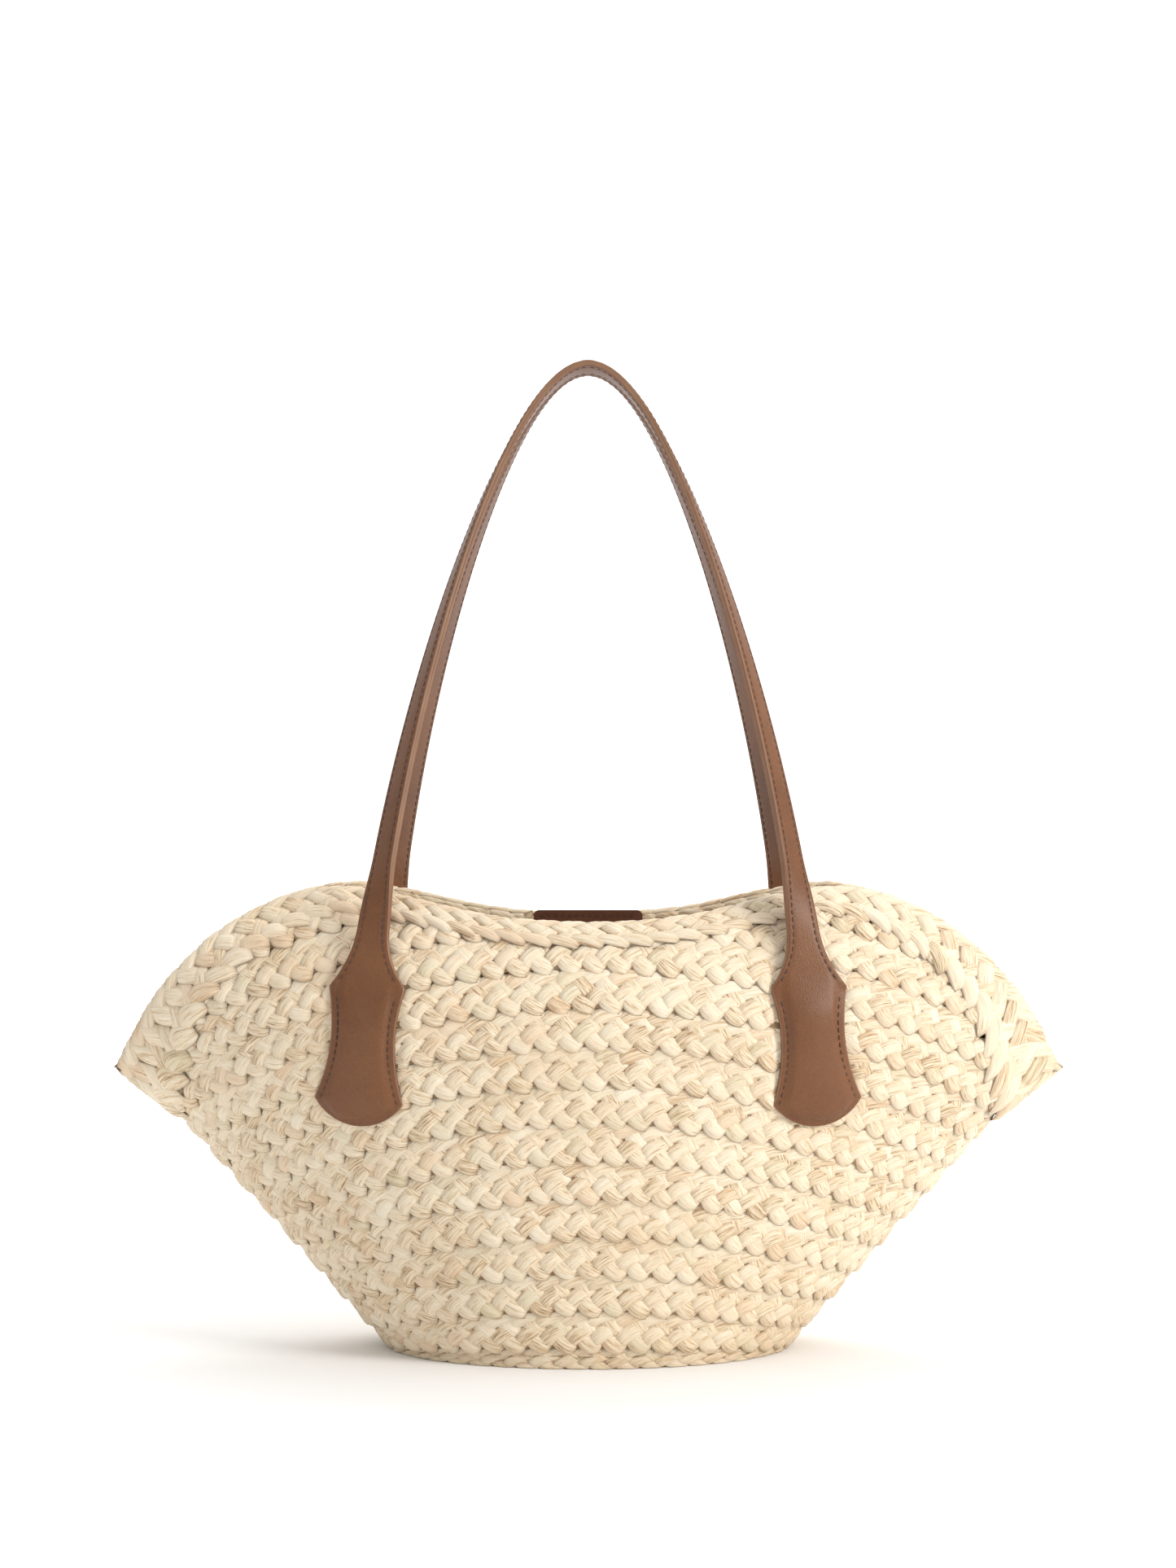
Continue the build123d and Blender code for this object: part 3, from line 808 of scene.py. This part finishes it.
def stitched(name, places, material):
    """Stitches at places, each a point, a direction along the row and a direction outwards."""
    stitch = stitch_mesh()
    per = len(stitch.vertices)
    bm = repeated(stitch, len(places))
    mesh = bpy.data.meshes.new(name + "_rows")
    bm.to_mesh(mesh)
    local = read_points(mesh).reshape(len(places), per, 3)
    point, along, out = (np.array([p[k] for p in places]) for k in range(3))
    along /= np.linalg.norm(along, axis=1, keepdims=True)
    out -= along * (out * along).sum(axis=1, keepdims=True)
    out /= np.linalg.norm(out, axis=1, keepdims=True)
    side = np.cross(out, along)
    axes = np.stack([along, side, out], 1)
    placed = point[:, None] + np.einsum("nvk,nkc->nvc", local, axes)
    bm.verts.ensure_lookup_table()
    for vert, co in zip(bm.verts, placed.reshape(-1, 3)):
        vert.co = co
    bpy.data.meshes.remove(mesh)
    bpy.data.meshes.remove(stitch)
    return new_piece(name, bm, [material])


def strap_stitch_places(wall_side):
    """Two rows of stitches on both faces of a strap, and one row down each side of its tabs."""
    path = StrapPath(wall_side)
    places = []
    for length in np.arange(0.004, path.whole, STITCH_PITCH):
        place, up, face = path.at(length)
        wide = np.cross(face, up)
        wide /= np.linalg.norm(wide)
        reach = float(path.half_width(length)) - STRAP_STITCH_INSET
        slope = (float(path.half_width(length + 0.001)) - float(path.half_width(length - 0.001))) / 0.002
        for hand in (1.0, -1.0):
            along = up + wide * hand * slope
            for level in (1.0, -1.0):
                settle = SINK * max(1.0 - length / SINK_LENGTH, 0.0) ** 2 * (level > 0)
                point = place + wide * hand * reach + face * (level * (LAYER + 0.00005) - settle)
                places.append((point, along, face * level))
    for height in np.arange(TAB_CORNER[1] + 0.001, FOLD_HEIGHT - 0.003, STITCH_PITCH):
        for hand in (1.0, -1.0):
            ends = []
            for z in (height, height + 0.001):
                across = hand * (tab_half_width(z) - TAB_STITCH_INSET)
                x = STRAP_X + across + TAB_SPLAY * (FOLD_HEIGHT - z)
                ends.append(wall_frame(np.array(x), np.array(z + TAB_SPLAY * across), wall_side))
            (low, normal), (high, _) = ends
            places.append((low + normal * (TAB_LEATHER - 0.00005), high - low, normal))
    mirror = np.array([-1.0, 1.0, 1.0])
    return places + [(p * mirror, a * mirror, n * mirror) for p, a, n in places]


# ---- Settings ------------------------------------------------------------------------------
class BagSettings(bpy.types.PropertyGroup):
    """Sizes and colours of the bag that a user would change."""

    seed: bpy.props.IntProperty(name="Leaf seed", description="Which leaves are darker", default=3)
    rim_lift: bpy.props.FloatProperty(
        name="Rim lift", description="How far the rim braid stands over the turns under it",
        default=0.0022, unit="LENGTH")
    leather_dark: bpy.props.FloatVectorProperty(
        name="Leather, dark", description="Leather colour in its darker clouds",
        default=(0.105, 0.034, 0.0095), subtype="COLOR", size=3)
    leather_light: bpy.props.FloatVectorProperty(
        name="Leather, light", description="Leather colour in its lighter clouds",
        default=(0.250, 0.098, 0.031), subtype="COLOR", size=3)
    key_power: bpy.props.FloatProperty(
        name="Key light", description="Power of the large light on the right", default=46.0)


def settings():
    return bpy.context.scene.beach_bag


def shared(name, maker, *args):
    """The material of that name, made once."""
    return bpy.data.materials.get(name) or maker(*args)


def braid():
    return shared("Dried leaf braid", braid_material)


def leather():
    s = settings()
    return shared("Tan leather", leather_material, "Tan leather", tuple(s.leather_dark),
                  tuple(s.leather_light))


# ---- Operators -----------------------------------------------------------------------------
class BAG_OT_wall(bpy.types.Operator):
    """Plait the turns of braid of the wall"""
    bl_idname = "bag.wall"
    bl_label = "Wall braids"

    def execute(self, context):
        for turn in range(1, 15):
            band = WallBand(turn_edge(turn - 1), turn_edge(turn))
            node = f"wall_course_{turn:02d}" if turn < 12 else None
            piece = braid_piece(f"braid_turn_{turn:02d}", band, braid(), WALL_TIERS,
                                under_rim if turn > 9 else None, settings().seed + turn)
            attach(piece, "basket")
            if node:
                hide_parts(node)
            if turn == 12:
                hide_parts("wall_course_12_front", "wall_course_12_rear")
        return {"FINISHED"}


class BAG_OT_rim(bpy.types.Operator):
    """Plait the rim braid over the ends of the turns"""
    bl_idname = "bag.rim"
    bl_label = "Rim braid"

    def execute(self, context):
        piece = braid_piece("braid_rim", RimBand(), braid(), RIM_TIERS, None, settings().seed + 40,
                            lift=settings().rim_lift / 2, shingle=settings().rim_lift / 2, rounded=True)
        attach(piece, "basket")
        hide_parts("rim_braid")
        return {"FINISHED"}


class BAG_OT_base(bpy.types.Operator):
    """Plait the oval base"""
    bl_idname = "bag.base"
    bl_label = "Base braids"

    def execute(self, context):
        nodes = ("base_turn_2", "base_turn_1", "base_core")
        for i in range(4):
            piece = braid_piece(f"braid_base_{i + 1}", BaseBand(BASE_EDGE + BASE_STEP * i), braid(),
                                WALL_TIERS, None, settings().seed + 60 + i, shingle=0.0)
            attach(piece, "basket")
            if i < len(nodes):
                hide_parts(nodes[i])
        return {"FINISHED"}


class BAG_OT_straps(bpy.types.Operator):
    """Shape the leather straps with their tabs and stitches"""
    bl_idname = "bag.straps"
    bl_label = "Straps"

    def execute(self, context):
        edge = shared("Painted leather edge", edge_material)
        thread = shared("Waxed thread", thread_material)
        for end, wall_side in (("front", -1.0), ("rear", 1.0)):
            strap = leather_strap(f"leather_strap_{end}", wall_side, [leather(), edge])
            rows = stitched(f"strap_stitches_{end}", strap_stitch_places(wall_side), thread)
            for piece in (strap, rows):
                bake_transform(piece)
            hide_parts(f"strap_outer_{end}", f"strap_lining_{end}",
                        f"tab_{end}_left", f"tab_{end}_right")
            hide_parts(f"tab_stitches_{end}_left", f"tab_stitches_{end}_right")
        return {"FINISHED"}


class BAG_OT_small_leather(bpy.types.Operator):
    """Finish the patches inside the bag"""
    bl_idname = "bag.small_leather"
    bl_label = "Inner leather"

    def execute(self, context):
        dark = shared("Dark leather", leather_material, "Dark leather",
                      (0.120, 0.050, 0.034), (0.250, 0.115, 0.078), 0.3)
        thread = shared("Waxed thread", thread_material)
        for name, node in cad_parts.items():
            finish = None
            if name == "inner_patch":
                finish = dark
            elif name == "patch_stitches":
                finish = thread
            elif name.startswith("tab_backing"):
                finish = leather()
            if finish:
                node.data.materials.clear()
                node.data.materials.append(finish)
        return {"FINISHED"}


class BAG_OT_stage(bpy.types.Operator):
    """Set up the pale sweep, the lights and the camera"""
    bl_idname = "bag.stage"
    bl_label = "Stage"

    def execute(self, context):
        half, flat, radius = 9.0, 9.0, 2.4
        bm = bmesh.new()
        bmesh.ops.create_grid(bm, x_segments=2, y_segments=40, size=1.0)
        for vert in bm.verts:
            run = (vert.co.y + 1.0) * half
            if run < flat:
                y, z = run - 6.0, 0.0
            else:
                turn = min((run - flat) / radius, math.pi / 2)
                rest = max(run - flat - radius * math.pi / 2, 0.0)
                y = flat - 6.0 + radius * math.sin(turn)
                z = radius * (1.0 - math.cos(turn)) + rest
            vert.co = (vert.co.x * half, y, z)
        bmesh.ops.recalc_face_normals(bm, faces=bm.faces)
        sweep = new_piece("studio_sweep", bm, [shared("Studio paper", floor_material)])
        world = bpy.data.worlds.new("studio")
        world.use_nodes = True
        background = world.node_tree.nodes["Background"]
        background.inputs["Color"].default_value = (1.0, 1.0, 1.0, 1.0)
        background.inputs["Strength"].default_value = 0.56
        bpy.context.scene.world = world
        lights = (("key", (2.0, -1.25, 1.35), 0.9, settings().key_power, (1.0, 0.98, 0.95)),
                  ("fill", (-1.2, -2.4, 1.0), 1.8, 5.0, (0.98, 0.98, 1.0)),
                  ("top", (0.2, 0.2, 2.4), 1.8, 14.0, (1.0, 1.0, 1.0)),
                  ("backdrop", (0.0, 2.0, 3.4), 3.0, 150.0, (1.0, 1.0, 1.0)))
        for name, place, size, power, colour in lights:
            data = bpy.data.lights.new(name, "AREA")
            data.size = size
            data.energy = power
            data.color = colour
            lamp = bpy.data.objects.new(name, data)
            lamp.location = place
            aim = Vector((0, 5.2 if name == "backdrop" else 0, 0.2)) - Vector(place)
            lamp.rotation_euler = aim.to_track_quat("-Z", "Y").to_euler()
            bpy.context.scene.collection.objects.link(lamp)
        data = bpy.data.cameras.new("camera")
        data.sensor_width = 36.0
        data.lens = 72.5
        camera = bpy.data.objects.new("camera", data)
        camera.location = (0.0, -1.6, 0.2835)
        camera.rotation_euler = (math.pi / 2, 0.0, 0.0)
        bpy.context.scene.collection.objects.link(camera)
        bpy.context.scene.camera = camera
        bpy.context.scene.view_settings.view_transform = "Standard"
        return {"FINISHED"}


class BAG_PT_panel(bpy.types.Panel):
    """Lists the steps that build the bag"""
    bl_label = "Beach bag"
    bl_idname = "BAG_PT_panel"
    bl_space_type = "VIEW_3D"
    bl_region_type = "UI"
    bl_category = "Beach bag"

    def draw(self, context):
        for name in ("seed", "rim_lift", "leather_dark", "leather_light", "key_power"):
            self.layout.prop(context.scene.beach_bag, name)
        for step in STEPS:
            self.layout.operator(step.bl_idname)


STEPS = (BAG_OT_base, BAG_OT_wall, BAG_OT_rim, BAG_OT_straps, BAG_OT_small_leather, BAG_OT_stage)
CLASSES = (BagSettings, *STEPS, BAG_PT_panel)


def register():
    for cls in CLASSES:
        bpy.utils.register_class(cls)
    bpy.types.Scene.beach_bag = bpy.props.PointerProperty(type=BagSettings)


def unregister():
    del bpy.types.Scene.beach_bag
    for cls in reversed(CLASSES):
        bpy.utils.unregister_class(cls)


def main():
    register()
    bpy.ops.bag.base()
    bpy.ops.bag.wall()
    bpy.ops.bag.rim()
    bpy.ops.bag.straps()
    bpy.ops.bag.small_leather()
    bpy.ops.bag.stage()


if __name__ == "__main__":
    main()
